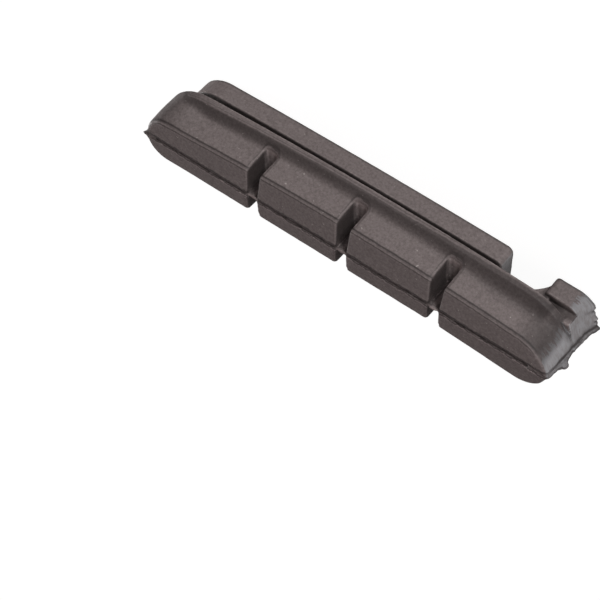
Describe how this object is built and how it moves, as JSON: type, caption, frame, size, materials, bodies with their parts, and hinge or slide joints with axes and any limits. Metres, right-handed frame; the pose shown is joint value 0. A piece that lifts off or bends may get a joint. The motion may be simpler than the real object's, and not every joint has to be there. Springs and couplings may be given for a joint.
{
  "type": "bicycle rim brake pad insert",
  "caption": "Moulded rubber rim brake pad insert with a grooved, ridged friction face, a T-shaped rail that slides into a shoe, and a stop block at its heel.",
  "frame": {"origin": "on the flat back of the rail, half way along the pad, on the plane where the mould parted", "axes": "+X along the pad to the heel with the stop block, +Y to the bulging long side, +Z out of the friction face"},
  "size_m": [0.055, 0.0112, 0.009],
  "materials": {
    "brake_rubber": "matt dark grey moulded rubber compound with a fine mottled skin, scuffed at the heel"
  },
  "bodies": {
    "root": {"brake_pad": "brake_rubber"}
  },
  "joints": []
}
